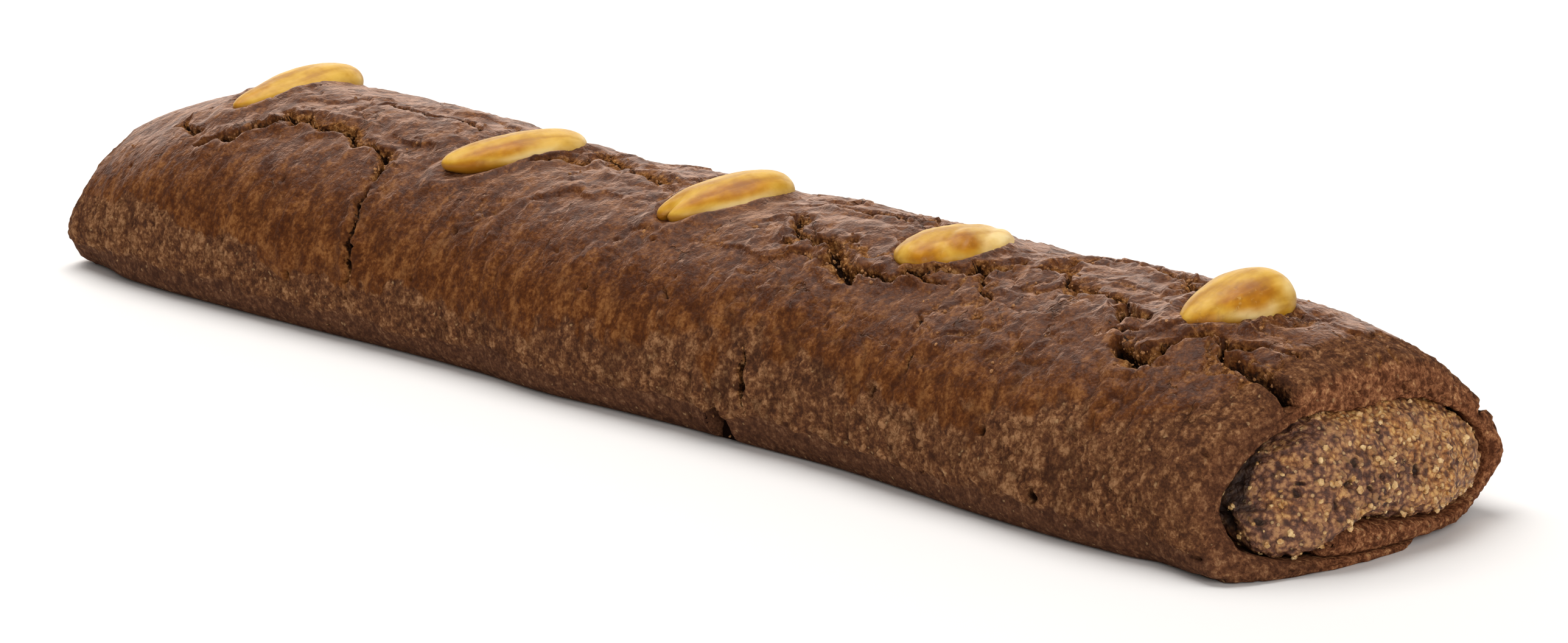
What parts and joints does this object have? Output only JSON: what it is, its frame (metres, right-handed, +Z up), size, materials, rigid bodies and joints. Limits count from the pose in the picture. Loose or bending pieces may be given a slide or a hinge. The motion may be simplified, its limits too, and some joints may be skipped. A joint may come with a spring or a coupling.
{
  "type": "filled speculaas bar",
  "caption": "Long low baked bar: a spiced dough sheet rolled round a thick almond paste core that shows at both open ends, with whole almonds along its top.",
  "frame": {"origin": "middle of the bar's flat base", "axes": "+X along the bar to the end where the dough lip is split by a crack, +Z up, -Y the front, with the deeper side crack"},
  "size_m": [0.2748, 0.0618, 0.035],
  "materials": {
    "speculaas_dough": "baked brown crust under egg glaze",
    "almond_paste": "baked, grainy",
    "glazed_almond": "golden, egg glazed"
  },
  "bodies": {
    "root": {"dough_roll": "speculaas_dough", "paste_core": "almond_paste", "almond_1": "glazed_almond", "almond_2": "glazed_almond", "almond_3": "glazed_almond", "almond_4": "glazed_almond", "almond_5": "glazed_almond"}
  },
  "joints": []
}
